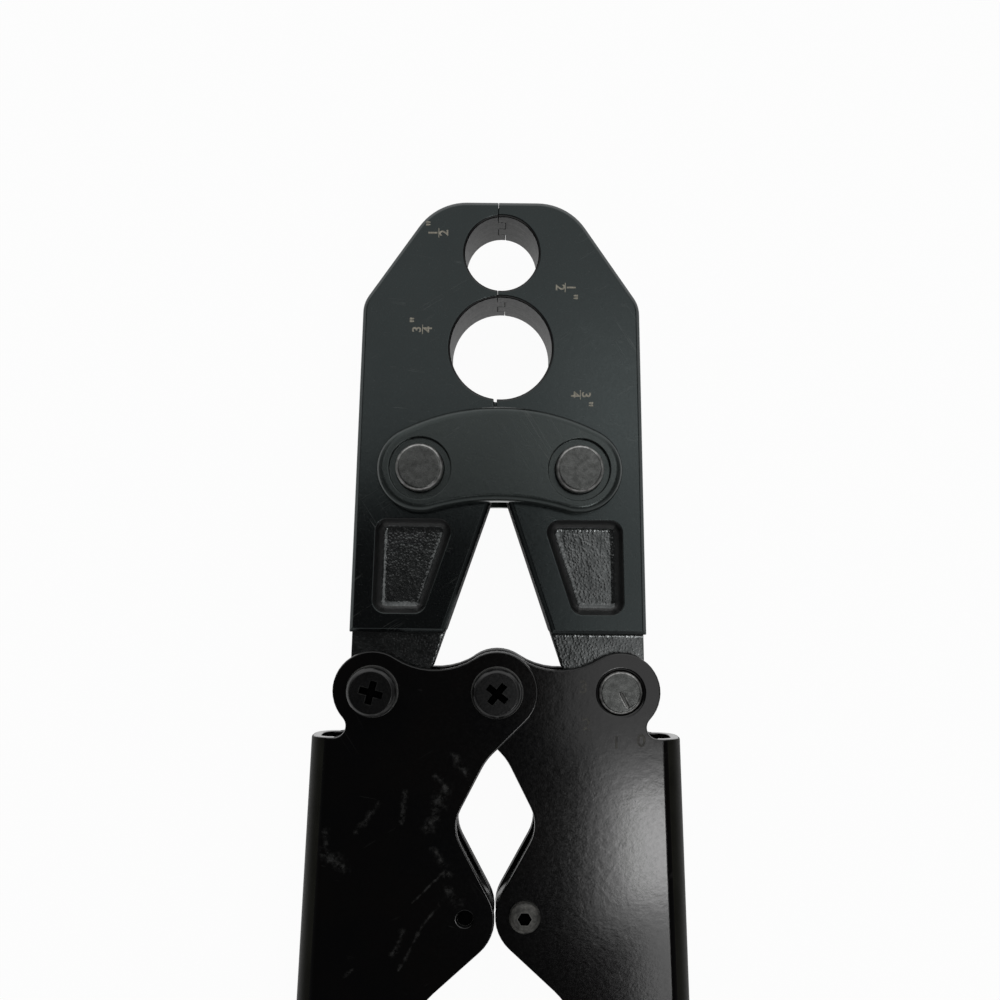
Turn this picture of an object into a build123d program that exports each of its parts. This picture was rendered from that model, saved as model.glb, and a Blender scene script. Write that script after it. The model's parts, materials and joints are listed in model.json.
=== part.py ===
from build123d import *
import os
from math import acos, asin, atan2, cos, degrees, hypot, radians, sin, sqrt, tan

os.makedirs("parts", exist_ok=True)

# A hand crimp tool that closes copper rings on plastic water pipe, in millimetres.
# It lies on its back: X runs across it, Y along it towards the jaws, and Z up through its thickness.
# Every profile is drawn from the centre pivot, with u outwards from the centre line and v towards the jaws.

# Die bores: the ring sizes that the tool closes to, and the metal left beside them
large_bore_r = 10.3
small_bore_r = 7.45
large_bore_v = 69.9
bore_land = 1.45
crown_wall = 3.05
bore_bevel = 0.4

# Jaw forging
jaw_thick = 16.0
crown_half = 13.3
crown_round = 12.0
crown_drop = 20.6
cheek_half = 28.0
cheek_round = 6.0
arm_half = 30.2
step_v = 12.1
edge_bevel = 0.8
mating_layers = 4
tongue = 0.75
seam_gap = 0.2
seam_foot_v = 47.5
throat_half = 1.35
throat_v = 40.0
throat_angle = 18.9

# Forged pocket in each side of a jaw arm
pocket_top_v = 35.2
pocket_low_v = 16.0
pocket_outer_wall = 4.5
pocket_inner_wall = 5.7
pocket_depth = 2.2
pocket_round = 2.6
pocket_draft = 22.0

# Tang at the foot of a jaw arm, which goes between the leaves of a handle
tang_thick = 5.4
tang_r = 7.0
tang_heel_v = 5.0
tang_root = 4.0

# Link plates and their pins, which carry both jaws
link_pin_u = 15.9
link_pin_v = 45.05
link_pin_r = 4.75
link_pin_proud = 1.95
link_pin_bevel = 0.5
link_end_r = 8.7
link_rise = 12.5
link_waist = 6.4
link_thick = 4.0
link_round = 1.6
link_counterbore_r = 6.2
link_counterbore_depth = 1.3

# The right jaw's link hole is a slot, because this linkage is opened at that pin
open_slot = 6.9
open_slot_tilt = 8.5
open_slot_room = 0.45

# Handle channels, folded from sheet
jaw_pivot_u = 25.4
sheet = 2.0
bend_r = 1.1
lobe_r = 8.35
ear_r = 8.2
valley_r = 15.0
notch_r = 2.4
shoulder_v = -9.5
wall_u = 38.3
splay = 2.7
channel_width = 24.0
fork_angle = 45.0
fork_run = 11.3
fork_round = 12.0
window_half = 9.0
window_v = -27.5
window_round = 8.0
bump_u = -2.2
bump_v = -48.3
bump_round = 9.0
neck_v = -65.7
neck_round = 15.0

# Stops that meet when the handles are closed
stop_u = 6.1
stop_v = -46.2
stop_gap = 0.3
stop_screw_r = 1.7
stop_head_r = 3.25
stop_head_high = 1.8
stop_head_round = 1.1
stop_key = 2.5
stop_key_deep = 1.2
stop_tip_depth = 1.2

# Grips
handle_drop = 300.4
grip_length = 150.0
grip_depth = 28.0
grip_neck_depth = 25.0
grip_tail_depth = 25.6
grip_guard_half = 17.8
grip_neck_half = 14.8
grip_palm_half = 16.0
grip_tail_half = 15.2
grip_guard_long = 5.0
grip_guard_slope = 12.0
grip_palm_flat = 40.0
grip_tail_round = 9.0
grip_tail_draw = 6.0
grip_tail_turns = (45.0, 90.0)
grip_edge_round = 6.0
grip_end_wall = 5.0
grip_groove_count = 6
grip_groove_pitch = 12.0
grip_groove_wide = 2.6
grip_groove_deep = 0.7

# Screwed pivots
barrel_r = 4.0
barrel_head_r = 6.0
barrel_head_high = 2.2
barrel_head_bevel = 0.5
screw_r = 2.5
screw_long = 9.0
screw_head_r = 5.05
screw_head_high = 2.6
screw_head_bevel = 0.7
cross_long = 4.8
cross_wide = 1.4
cross_deep = 1.7
cross_draft = 8.0
centre_screw_turn = 52.0
jaw_screw_turn = -15.0
washer_r = 5.35
washer_thick = 0.6
centre_spacer_r = 7.0

# Eccentric adjusting pin at the right jaw
adjuster_r = 4.5
adjuster_throw = 0.3
adjuster_tail_r = 3.6
adjuster_thread_r = 3.0
adjuster_proud = 0.3
adjuster_bevel = 0.45
index_angle = -61.5
index_wide = 0.5
index_deep = 0.3
index_long = 3.3
adjuster_washer_r = 6.5
adjuster_washer_thick = 0.9
adjuster_nut_across = 10.0
adjuster_nut_high = 2.1

# Clearances
running_fit = 0.05
seated_fit = 0.02
leaf_gap = 0.15
lap_gap = 0.1
face_gap = 0.05
grip_fit = 0.1
hole_bevel = 0.4
cut_margin = 5.0

# Heights above and below the middle plane, from the leaves that lap at the centre pivot
inner_leaf_in = tang_thick / 2 + leaf_gap
inner_leaf_out = inner_leaf_in + sheet
outer_leaf_in = inner_leaf_out + lap_gap
outer_leaf_out = outer_leaf_in + sheet
jaw_half = jaw_thick / 2
link_pin_reach = jaw_half + face_gap + link_thick + link_pin_proud

# Places worked out along the jaws
small_bore_v = large_bore_v + large_bore_r + bore_land + small_bore_r
head_top = small_bore_v + small_bore_r + crown_wall
cheek_v = head_top - crown_drop

# The tool rests on its grips and rear pins, with its length centred on the origin
pivot_y = (handle_drop - head_top) / 2
mid_z = max(grip_depth / 2, link_pin_reach)
front = Plane(origin=(0, pivot_y, mid_z), x_dir=(1, 0, 0), z_dir=(0, 0, 1))
back = Plane(origin=(0, pivot_y, mid_z), x_dir=(-1, 0, 0), z_dir=(0, 0, -1))

# Right-hand pieces are drawn on the front plane, and left-hand ones are the same pieces turned over
right_side = front
left_side = back


def save(piece, name):
    """Name a finished piece and write it."""
    piece.part.label = name
    export_step(piece.part, f"parts/{name}.step")


def cheek_u(v):
    """Outer edge of a jaw arm at a height v."""
    return cheek_half + (arm_half - cheek_half) * (cheek_v - v) / (cheek_v - step_v)


def throat_u(v):
    """Inner edge of a jaw arm at a height v, along the throat between the jaws."""
    return throat_half + (throat_v - v) * tan(radians(throat_angle))


def on_circle(centre, radius, angle):
    """The point of a circle at an angle in degrees."""
    return (centre[0] + radius * cos(radians(angle)), centre[1] + radius * sin(radians(angle)))


def wall_at(v):
    """Outer face of a handle's wall at a height v."""
    return wall_u + (shoulder_v - v) * tan(radians(splay))


def build_link_pin(side):
    """A round pin through both link plates, bevelled at its ends."""
    with BuildPart() as pin:
        with BuildSketch(side.offset(-link_pin_reach)):
            with Locations((link_pin_u, link_pin_v)):
                Circle(link_pin_r)
        extrude(amount=2 * link_pin_reach)
        chamfer(pin.edges().filter_by(GeomType.CIRCLE), link_pin_bevel)
    return pin


def round_washer(plane, centre, radius, hole_r, low, high):
    """A flat ring across the tool."""
    with BuildPart() as ring:
        with BuildSketch(plane.offset(low)):
            with Locations(centre):
                Circle(radius)
                Circle(hole_r, mode=Mode.SUBTRACT)
        extrude(amount=high - low)
    return ring


def build_jaw(side, tang_hole_r, slot_long):
    """A forged jaw: half of both dies, the tongues of its mating face, a pocketed arm and its tang."""
    back_u = tongue + seam_gap / 2
    layer = jaw_thick / mating_layers
    half_gap = seam_gap / 2
    tang_pivot = (jaw_pivot_u, 0)
    heel = (throat_u(tang_heel_v), tang_heel_v)
    heel_reach = hypot(heel[0] - jaw_pivot_u, heel[1])
    heel_angle = degrees(atan2(heel[1], heel[0] - jaw_pivot_u) + acos(tang_r / heel_reach))
    with BuildPart() as jaw:
        # Outline of the head and arm, set back from the centre line
        with BuildSketch(side.offset(-jaw_half)):
            with BuildLine():
                FilletPolyline(
                    (back_u, head_top), (crown_half, head_top), (cheek_half, cheek_v), (arm_half, step_v),
                    radius=(crown_round, cheek_round))
                Polyline(
                    (arm_half, step_v), (throat_u(step_v), step_v), (throat_half, throat_v),
                    (throat_half, large_bore_v), (back_u, large_bore_v), (back_u, head_top))
            make_face()
        extrude(amount=jaw_thick)
        # Two tongues reach over the centre line and lie between those of the other jaw
        tongue_u = half_gap - tongue
        for low, high in ((layer + half_gap, jaw_half), (half_gap - layer, -half_gap)):
            with BuildSketch(side.offset(low)):
                with BuildLine():
                    Polyline(
                        (tongue_u, seam_foot_v), (throat_half, seam_foot_v), (throat_half, large_bore_v),
                        (back_u, large_bore_v), (back_u, head_top), (tongue_u, head_top), close=True)
                make_face()
            extrude(amount=high - low)
        # Bevel round both faces, apart from the mating face
        flats = jaw.faces().filter_by(Axis.Z).group_by(Axis.Z)
        rims = (flats[0] + flats[-1]).edges().filter_by(lambda edge: abs(edge.center().X) > 2 * tongue)
        chamfer(rims, edge_bevel)
        # Tang, with a round end about the handle's pivot
        with BuildSketch(side.offset(-tang_thick / 2)):
            with BuildLine():
                Polyline(
                    (cheek_u(step_v + tang_root), step_v + tang_root), (cheek_u(0), 0), tang_pivot,
                    on_circle(tang_pivot, tang_r, heel_angle), heel,
                    (throat_u(step_v + tang_root), step_v + tang_root), close=True)
            make_face()
            with Locations(tang_pivot):
                Circle(tang_r)
        extrude(amount=tang_thick)
        # Forged pockets with sloping sides, front and rear
        for face_w, depth in ((jaw_half, -pocket_depth), (-jaw_half, pocket_depth)):
            with BuildSketch(side.offset(face_w)) as pocket:
                with BuildLine():
                    Polyline(
                        (cheek_u(pocket_top_v) - pocket_outer_wall, pocket_top_v),
                        (cheek_u(pocket_low_v) - pocket_outer_wall, pocket_low_v),
                        (throat_u(pocket_low_v) + pocket_inner_wall, pocket_low_v),
                        (throat_u(pocket_top_v) + pocket_inner_wall, pocket_top_v), close=True)
                make_face()
                fillet(pocket.vertices(), pocket_round)
            extrude(amount=depth, taper=pocket_draft, mode=Mode.SUBTRACT)
        # Die bores, then the holes for the link pin and the handle pivot
        with BuildSketch(side.offset(-jaw_half)):
            with Locations((0, large_bore_v)):
                Circle(large_bore_r)
            with Locations((0, small_bore_v)):
                Circle(small_bore_r)
            with Locations(tang_pivot):
                Circle(tang_hole_r)
            if slot_long:
                slot_wide = 2 * (link_pin_r + open_slot_room)
                with Locations(on_circle((link_pin_u, link_pin_v), slot_long / 2, 180 + open_slot_tilt)):
                    SlotCenterToCenter(slot_long, slot_wide, rotation=open_slot_tilt)
            with Locations((link_pin_u, link_pin_v)):
                Circle(link_pin_r + running_fit)
        extrude(amount=jaw_thick, mode=Mode.SUBTRACT)
        mouths = jaw.faces().filter_by(Axis.Z).group_by(Axis.Z)
        rings = (mouths[0] + mouths[-1]).edges().filter_by(GeomType.CIRCLE)
        for bore_r in (large_bore_r, small_bore_r):
            chamfer(rings.filter_by(lambda edge: abs(edge.radius - bore_r) < seated_fit), bore_bevel)
    return jaw


def build_link_plate(face):
    """A bean-shaped plate on one face of the jaws, with a counterbore round each pin."""
    rise_r = (link_pin_u**2 + link_rise**2 - link_end_r**2) / (2 * (link_rise - link_end_r))
    waist_r = (link_pin_u**2 + link_waist**2 - link_end_r**2) / (2 * (link_end_r - link_waist))
    rise_angle = degrees(atan2(rise_r - link_rise, link_pin_u))
    waist_angle = degrees(atan2(waist_r + link_waist, link_pin_u))
    pins = [(-link_pin_u, link_pin_v), (link_pin_u, link_pin_v)]
    inner = jaw_half + face_gap
    with BuildPart() as plate:
        with BuildSketch(face.offset(inner)):
            with BuildLine():
                CenterArc((0, link_pin_v + link_rise - rise_r), rise_r, rise_angle, 180 - 2 * rise_angle)
                CenterArc(pins[0], link_end_r, 180 - rise_angle, rise_angle + 180 - waist_angle)
                waist_centre = (0, link_pin_v - link_waist - waist_r)
                CenterArc(waist_centre, waist_r, 180 - waist_angle, 2 * waist_angle - 180)
                CenterArc(pins[1], link_end_r, waist_angle - 180, rise_angle + 180 - waist_angle)
            make_face()
        extrude(amount=link_thick)
        top = plate.faces().filter_by(Axis.Z).sort_by(Axis(face.origin, face.z_dir))[-1]
        fillet(top.edges(), link_round)
        with BuildSketch(face.offset(inner)):
            with Locations(pins):
                Circle(link_pin_r + seated_fit)
        extrude(amount=link_thick, mode=Mode.SUBTRACT)
        with BuildSketch(face.offset(inner + link_thick)):
            with Locations(pins):
                Circle(link_counterbore_r)
        extrude(amount=-link_counterbore_depth, mode=Mode.SUBTRACT)
    return plate


def build_channel(side, inner_hole_r, outer_hole_r):
    """A handle folded from sheet: two leaves with ears for the pivots, joined by an outer wall."""
    pivot = (jaw_pivot_u, 0)
    valley_u = (jaw_pivot_u**2 + (lobe_r + valley_r)**2 - (ear_r + valley_r)**2) / (2 * jaw_pivot_u)
    valley = (valley_u, sqrt((lobe_r + valley_r)**2 - valley_u**2))
    lobe_angle = degrees(atan2(valley[1], valley[0]))
    ear_angle = degrees(atan2(valley[1], valley[0] - jaw_pivot_u))
    notch_angle = degrees(asin((shoulder_v + notch_r) / (ear_r + notch_r)))
    notch = on_circle(pivot, ear_r + notch_r, notch_angle)
    fork = on_circle((0, 0), lobe_r, 180 + fork_angle)
    crotch = on_circle(fork, fork_run, -fork_angle)
    across = channel_width / cos(radians(splay))
    # The channel is cut square to its own line, at the end wall of its grip
    end_v = grip_end_wall * cos(radians(splay)) - handle_drop
    end_rise = channel_width / 2 * sin(radians(splay))
    outer_end = (wall_at(end_v + end_rise), end_v + end_rise)
    inner_end = (wall_at(end_v - end_rise) - across, end_v - end_rise)
    with BuildPart() as channel:
        # Outline of a leaf, from the centre lobe over the ear, down the wall and back up the inner edge
        with BuildSketch(side.offset(-outer_leaf_out)):
            with BuildLine():
                CenterArc((0, 0), lobe_r, 180 + fork_angle, lobe_angle - fork_angle - 180)
                CenterArc(valley, valley_r, 180 + lobe_angle, ear_angle - lobe_angle)
                CenterArc(pivot, ear_r, ear_angle, notch_angle - ear_angle)
                CenterArc(notch, notch_r, 180 + notch_angle, 90 - notch_angle)
                Polyline((notch[0], shoulder_v), (wall_u, shoulder_v), outer_end, inner_end)
                FilletPolyline(
                    inner_end, (wall_at(neck_v) - across, neck_v), (bump_u, bump_v),
                    (window_half, window_v), crotch, fork,
                    radius=(neck_round, bump_round, window_round, fork_round))
            make_face()
        extrude(amount=outer_leaf_out + inner_leaf_out)
        # Open the channel between its leaves, up to the wall, and above the wall's top
        with BuildSketch(side.offset(-outer_leaf_in)):
            with BuildLine():
                Polyline(
                    (-channel_width, channel_width), (wall_at(end_v) + cut_margin, channel_width),
                    (wall_at(end_v) + cut_margin, shoulder_v), (wall_u - sheet, shoulder_v),
                    (wall_at(end_v - cut_margin) - sheet, end_v - cut_margin),
                    (-channel_width, end_v - cut_margin), close=True)
            make_face()
        extrude(amount=outer_leaf_in + inner_leaf_in, mode=Mode.SUBTRACT)
        # Round the two folds, outside and in: of the edges along the wall they lie furthest from the centre
        wall_line = Axis(side.origin, side.x_dir * sin(radians(splay)) - side.y_dir * cos(radians(splay)))
        along_wall = channel.edges().filter_by(wall_line).sort_by(lambda edge: abs(edge.center().X))
        outer_folds = along_wall[-2:]
        inner_folds = along_wall[-4:-2]
        fillet(outer_folds, bend_r + sheet)
        fillet(inner_folds, bend_r)
        # Pivot holes, and the stop screw's clearance and tapped holes
        with BuildSketch(side.offset(inner_leaf_in)):
            Circle(barrel_r + running_fit)
            with Locations(pivot):
                Circle(inner_hole_r)
            with Locations((stop_u, stop_v)):
                Circle(stop_screw_r + running_fit)
        extrude(amount=sheet, mode=Mode.SUBTRACT)
        with BuildSketch(side.offset(-outer_leaf_in)):
            Circle(barrel_r + running_fit)
            with Locations(pivot):
                Circle(outer_hole_r)
            with Locations((stop_u, stop_v)):
                Circle(stop_screw_r + seated_fit)
        extrude(amount=-sheet, mode=Mode.SUBTRACT)
        pivot_mouth = side.from_local_coords(Vector(jaw_pivot_u, 0, inner_leaf_out))
        chamfer(channel.edges().sort_by_distance(pivot_mouth)[0], hole_bevel)
    return channel


def value_at(points, s):
    """The value at a distance s on a line of (distance, value) points."""
    for (near, first), (far, second) in zip(points, points[1:]):
        if s <= far:
            break
    return first + (second - first) * (s - near) / (far - near)


def grip_rings():
    """Sections of a grip as (distance from its mouth, half width, half depth), with its finger grooves."""
    neck_s = grip_guard_long + grip_guard_slope
    middle = grip_length / 2
    palm_s = middle - grip_palm_flat / 2
    palm_end_s = middle + grip_palm_flat / 2
    tail_s = grip_length - grip_tail_round
    widths = (
        (0, grip_guard_half), (grip_guard_long, grip_guard_half), (neck_s, grip_neck_half),
        (palm_s, grip_palm_half), (palm_end_s, grip_palm_half), (tail_s, grip_tail_half))
    depths = (
        (0, grip_depth / 2), (grip_guard_long, grip_depth / 2), (neck_s, grip_neck_depth / 2),
        (palm_s, grip_depth / 2), (palm_end_s, grip_depth / 2), (tail_s, grip_tail_depth / 2))
    sunk = {s: 0 for s, size in widths}
    for groove in range(grip_groove_count):
        centre = middle + (groove - (grip_groove_count - 1) / 2) * grip_groove_pitch
        sunk[centre - grip_groove_wide / 2] = 0
        sunk[centre] = grip_groove_deep
        sunk[centre + grip_groove_wide / 2] = 0
    rings = [(s, value_at(widths, s) - sunk[s], value_at(depths, s) - sunk[s]) for s in sorted(sunk)]
    for turn in grip_tail_turns:
        draw = grip_tail_draw * (1 - cos(radians(turn)))
        s = tail_s + grip_tail_round * sin(radians(turn))
        rings.append((s, grip_tail_half - draw, grip_tail_depth / 2 - draw))
    return rings


def build_grip(side):
    """A moulded sleeve over the end of a handle, with a guard, a palm swell and finger grooves."""
    lean = radians(splay)
    along = side.x_dir * sin(lean) - side.y_dir * cos(lean)
    outward = side.x_dir * cos(lean) + side.y_dir * sin(lean)
    mouth_v = grip_length * cos(lean) - handle_drop
    mouth_u = wall_at(mouth_v) - channel_width / 2 / cos(lean)
    mouth = side.from_local_coords(Vector(mouth_u, mouth_v, 0))
    section = Plane(origin=mouth, x_dir=outward, z_dir=along)
    with BuildPart() as grip:
        for s, half, deep in grip_rings():
            with BuildSketch(section.offset(s)):
                RectangleRounded(2 * half, 2 * deep, grip_edge_round)
        loft(ruled=True)
        # Socket for the channel, which lies off the middle plane by half a lap
        with BuildSketch(section):
            with Locations((0, (inner_leaf_out - outer_leaf_out) / 2)):
                Rectangle(channel_width + 2 * grip_fit, inner_leaf_out + outer_leaf_out + 2 * grip_fit)
        extrude(amount=grip_length - grip_end_wall + grip_fit, mode=Mode.SUBTRACT)
    return grip


def save_screwed_pivot(name, u, front_w, rear_w, turn):
    """A sleeve nut from the rear, and a cross-headed screw with its washer from the front."""
    centre = (u, 0)
    with BuildPart() as barrel:
        with BuildSketch(front.offset(rear_w)):
            with Locations(centre):
                Circle(barrel_head_r)
        extrude(amount=-barrel_head_high)
        chamfer(barrel.edges().group_by(Axis.Z)[0], barrel_head_bevel)
        with BuildSketch(front.offset(rear_w)):
            with Locations(centre):
                Circle(barrel_r)
        extrude(amount=front_w - leaf_gap - rear_w)
        with BuildSketch(front.offset(front_w - leaf_gap)):
            with Locations(centre):
                Circle(screw_r + seated_fit)
        extrude(amount=-screw_long, mode=Mode.SUBTRACT)
    save(barrel, f"{name}_barrel")
    seat = front_w + washer_thick
    save(round_washer(front, centre, washer_r, screw_r + running_fit, front_w, seat), f"{name}_washer")
    with BuildPart() as screw:
        with BuildSketch(front.offset(seat)):
            with Locations(centre):
                Circle(screw_head_r)
        extrude(amount=screw_head_high)
        chamfer(screw.edges().group_by(Axis.Z)[-1], screw_head_bevel)
        with BuildSketch(front.offset(seat)):
            with Locations(centre):
                Circle(screw_r)
        extrude(amount=-screw_long)
        with BuildSketch(front.offset(seat + screw_head_high)):
            with Locations(Location((u, 0), turn)):
                Rectangle(cross_long, cross_wide)
                Rectangle(cross_wide, cross_long)
        extrude(amount=-cross_deep, taper=cross_draft, mode=Mode.SUBTRACT)
    save(screw, f"{name}_screw")


def build_stop_screw(side):
    """A button-headed screw through the inner leaf and the stop, into the tapped outer leaf."""
    centre = (stop_u, stop_v)
    with BuildPart() as screw:
        with BuildSketch(side.offset(inner_leaf_out)):
            with Locations(centre):
                Circle(stop_head_r)
        extrude(amount=stop_head_high)
        rim = screw.edges().sort_by(Axis(side.origin, side.z_dir))[-1]
        fillet(rim, stop_head_round)
        with BuildSketch(side.offset(stop_tip_depth - outer_leaf_out)):
            with Locations(centre):
                Circle(stop_screw_r)
        extrude(amount=outer_leaf_out - stop_tip_depth + inner_leaf_out)
        with BuildSketch(side.offset(inner_leaf_out + stop_head_high)):
            with Locations(centre):
                RegularPolygon(stop_key / 2, 6, major_radius=False)
        extrude(amount=-stop_key_deep, mode=Mode.SUBTRACT)
    return screw


def build_adjusting_pin():
    """A pin whose middle is set off its axis, so that turning it moves the right jaw's tang."""
    centre = (jaw_pivot_u, 0)
    front_end = inner_leaf_out + adjuster_proud
    throw_r = adjuster_r - adjuster_throw - running_fit
    tail_end = -outer_leaf_out - adjuster_washer_thick - adjuster_nut_high
    with BuildPart() as pin:
        with BuildSketch(front.offset(inner_leaf_in)):
            with Locations(centre):
                Circle(adjuster_r)
        extrude(amount=front_end - inner_leaf_in)
        chamfer(pin.edges().group_by(Axis.Z)[-1], adjuster_bevel)
        with BuildSketch(front.offset(-outer_leaf_in)):
            with Locations(on_circle(centre, adjuster_throw, index_angle)):
                Circle(throw_r)
        extrude(amount=outer_leaf_in + inner_leaf_in)
        with BuildSketch(front.offset(-outer_leaf_out)):
            with Locations(centre):
                Circle(adjuster_tail_r)
        extrude(amount=sheet)
        with BuildSketch(front.offset(tail_end)):
            with Locations(centre):
                Circle(adjuster_thread_r)
        extrude(amount=-outer_leaf_out - tail_end)
        # Index line on the pin's end, from its middle towards the dial numbers
        with BuildSketch(front.offset(front_end)):
            with Locations(Location(on_circle(centre, index_long / 2, index_angle), index_angle)):
                Rectangle(index_long, index_wide)
        extrude(amount=-index_deep, mode=Mode.SUBTRACT)
    return pin


save(build_jaw(left_side, barrel_r + running_fit, 0), "left_jaw")
save(build_jaw(right_side, adjuster_r + running_fit, open_slot), "right_jaw")

# Link plates, front and rear, and the two pins that carry the jaws between them
save(build_link_plate(front), "front_link_plate")
save(build_link_plate(back), "rear_link_plate")
save(build_link_pin(left_side), "left_link_pin")
save(build_link_pin(right_side), "right_link_pin")

# Handles, with their grips, stops and the washers beside the tangs
left_channel = build_channel(left_side, barrel_r + seated_fit, barrel_r + seated_fit)
save(left_channel, "left_handle_channel")
right_channel = build_channel(right_side, adjuster_r + running_fit, adjuster_tail_r + running_fit)
save(right_channel, "right_handle_channel")
for hand, side, pivot_r in (("left", left_side, barrel_r), ("right", right_side, adjuster_r)):
    save(build_grip(side), f"{hand}_grip")
    tang_side = (-outer_leaf_in + face_gap, -tang_thick / 2 - face_gap)
    tang_washer = round_washer(side, (jaw_pivot_u, 0), tang_r, pivot_r + running_fit, *tang_side)
    save(tang_washer, f"{hand}_tang_washer")
    stop_r = stop_u - stop_gap / 2
    stop_ends = (-outer_leaf_in + face_gap, inner_leaf_in - face_gap)
    stop = round_washer(side, (stop_u, stop_v), stop_r, stop_screw_r + running_fit, *stop_ends)
    save(stop, f"{hand}_stop")
    save(build_stop_screw(side), f"{hand}_stop_screw")

# Centre pivot and the left jaw's pivot
save_screwed_pivot("centre_pivot", 0, outer_leaf_out, -outer_leaf_out, centre_screw_turn)
save_screwed_pivot("left_jaw_pivot", -jaw_pivot_u, outer_leaf_out, -inner_leaf_out, jaw_screw_turn)
spacer_half = inner_leaf_in - lap_gap
spacer = round_washer(front, (0, 0), centre_spacer_r, barrel_r + running_fit, -spacer_half, spacer_half)
save(spacer, "centre_spacer")

# Adjuster at the right jaw's pivot, held by a nut behind
save(build_adjusting_pin(), "adjusting_pin")
right_pivot = (jaw_pivot_u, 0)
nut_seat = -outer_leaf_out - adjuster_washer_thick
thread_hole_r = adjuster_thread_r + running_fit
washer = round_washer(front, right_pivot, adjuster_washer_r, thread_hole_r, nut_seat, -outer_leaf_out)
save(washer, "adjuster_washer")
with BuildPart() as nut:
    with BuildSketch(front.offset(nut_seat)):
        with Locations(right_pivot):
            RegularPolygon(adjuster_nut_across / 2, 6, major_radius=False)
            Circle(adjuster_thread_r + seated_fit, mode=Mode.SUBTRACT)
    extrude(amount=-adjuster_nut_high)
save(nut, "adjuster_nut")
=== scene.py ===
# %% [markdown]
# # A crimp tool for plastic water pipe
# The tool squeezes copper rings onto plastic pipe. Two black forged jaws hold half of each die, a bean-shaped
# link carries them on two pins, and two handles folded from sheet steel work them like a bolt cutter.
# The solids arrive ready made, in metres, in one fixed frame. This lesson keeps every solid where it is and
# gives it what solids lack: broken edges, forged skin, paint, wear, etched sizes and moulded grips.

# %% Load the solids
import bpy
import json
from math import cos, hypot, pi, radians, sin, tan
from mathutils import Matrix, Vector


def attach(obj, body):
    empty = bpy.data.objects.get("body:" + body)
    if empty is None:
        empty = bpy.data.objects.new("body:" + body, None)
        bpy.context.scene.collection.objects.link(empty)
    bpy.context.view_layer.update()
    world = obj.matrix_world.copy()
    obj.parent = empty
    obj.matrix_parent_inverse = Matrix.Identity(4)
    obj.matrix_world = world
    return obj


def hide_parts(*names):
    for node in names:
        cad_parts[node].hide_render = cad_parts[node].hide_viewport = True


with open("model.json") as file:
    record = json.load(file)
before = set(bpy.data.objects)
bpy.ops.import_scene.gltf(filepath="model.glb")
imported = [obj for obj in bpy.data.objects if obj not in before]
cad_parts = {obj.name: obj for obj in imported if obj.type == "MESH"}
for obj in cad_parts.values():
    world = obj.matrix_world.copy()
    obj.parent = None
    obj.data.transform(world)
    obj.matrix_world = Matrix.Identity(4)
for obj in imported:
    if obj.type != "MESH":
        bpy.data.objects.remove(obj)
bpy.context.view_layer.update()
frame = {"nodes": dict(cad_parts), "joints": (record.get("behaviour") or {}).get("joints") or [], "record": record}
mm = 0.001
pivot = Vector(frame["joints"][0]["pos_m"])
body_of = {node: body for body, nodes in frame["record"]["behaviour"]["bodies"].items() for node in nodes}
slot_of = {part["node"]: part["material_slot"] for part in frame["record"]["subparts"]}
print(len(frame["nodes"]), "solids, centre pivot at", [round(c, 4) for c in pivot])


def spot(u, v, w=0.0):
    """A place in millimetres from the centre pivot: across, towards the jaws, and up from the middle plane."""
    return pivot + Vector((u, v, w)) * mm


# %% [markdown]
# ## Camera
# The photograph looks straight down on the tool from close by, so the walls of the bores show and the handles
# spread. The picture was cut from a taller one, which a camera gives by shifting its lens up instead of tilting.
# Tilting it would make the upright edges converge, which the photograph doesn't show.

# %% Set up the camera
def place_object(name, data):
    """A new object in the scene."""
    made = bpy.data.objects.new(name, data)
    bpy.context.scene.collection.objects.link(made)
    return made


camera_u, camera_v, camera_height, camera_turn = -0.28, 22.49, 232, 0.61
lens_to_sensor, shift_right, shift_up = 1.106, 0.003, 0.0821
camera = place_object("Camera", bpy.data.cameras.new("Camera"))
bpy.context.scene.camera = camera
camera.location = spot(camera_u, camera_v, camera_height)
camera.rotation_euler = (0, 0, radians(camera_turn))
camera.data.sensor_width = 36
camera.data.lens = lens_to_sensor * camera.data.sensor_width
camera.data.shift_x = shift_right
camera.data.shift_y = shift_up
camera.data.clip_start = 0.01
bpy.context.scene.view_settings.view_transform = "Standard"
print("camera at", [round(c, 4) for c in camera.location], "lens", round(camera.data.lens, 2))


# %% [markdown]
# ## Studio
# Black paint shows little but reflections, so the light decides how the tool looks. In the photograph the right
# handle shines, the left one is nearly black and the head is evenly grey. A small bright panel hangs on the
# right with weaker ones round it, which soften its edge, and a wide weak one hangs beyond the head. The room is
# dark overhead and pale all round, most beyond the head, so that flat faces and folds stay black while pockets
# and edges still catch light. The floor is white to the eye and keeps a little of the shadow.

# %% Hang the soft panels
def hang_panel(name, low, high, height, brightness):
    """A flat lamp that faces down from a height, between two corners, all in metres from the centre pivot."""
    lamp = bpy.data.lights.new(name, "AREA")
    lamp.shape = "RECTANGLE"
    lamp.size, lamp.size_y = high[0] - low[0], high[1] - low[1]
    lamp.energy = brightness * pi * lamp.size * lamp.size_y
    panel = place_object(name, lamp)
    panel.location = pivot + Vector(((low[0] + high[0]) / 2, (low[1] + high[1]) / 2, height))
    print(name, [round(c, 2) for c in panel.location], round(lamp.energy, 2), "watts")


hang_panel("Key panel", (0.145, -0.325), (0.275, -0.205), 1.00, 7.0)
hang_panel("Key surround", (0.112, -0.365), (0.310, -0.165), 1.01, 2.2)
hang_panel("Key tail", (0.165, -0.480), (0.330, -0.365), 1.02, 2.6)
hang_panel("Side panel", (0.078, -0.165), (0.420, 0.300), 1.03, 1.0)
hang_panel("Head panel", (-0.70, 0.145), (0.80, 1.20), 1.04, 0.85)

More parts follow.
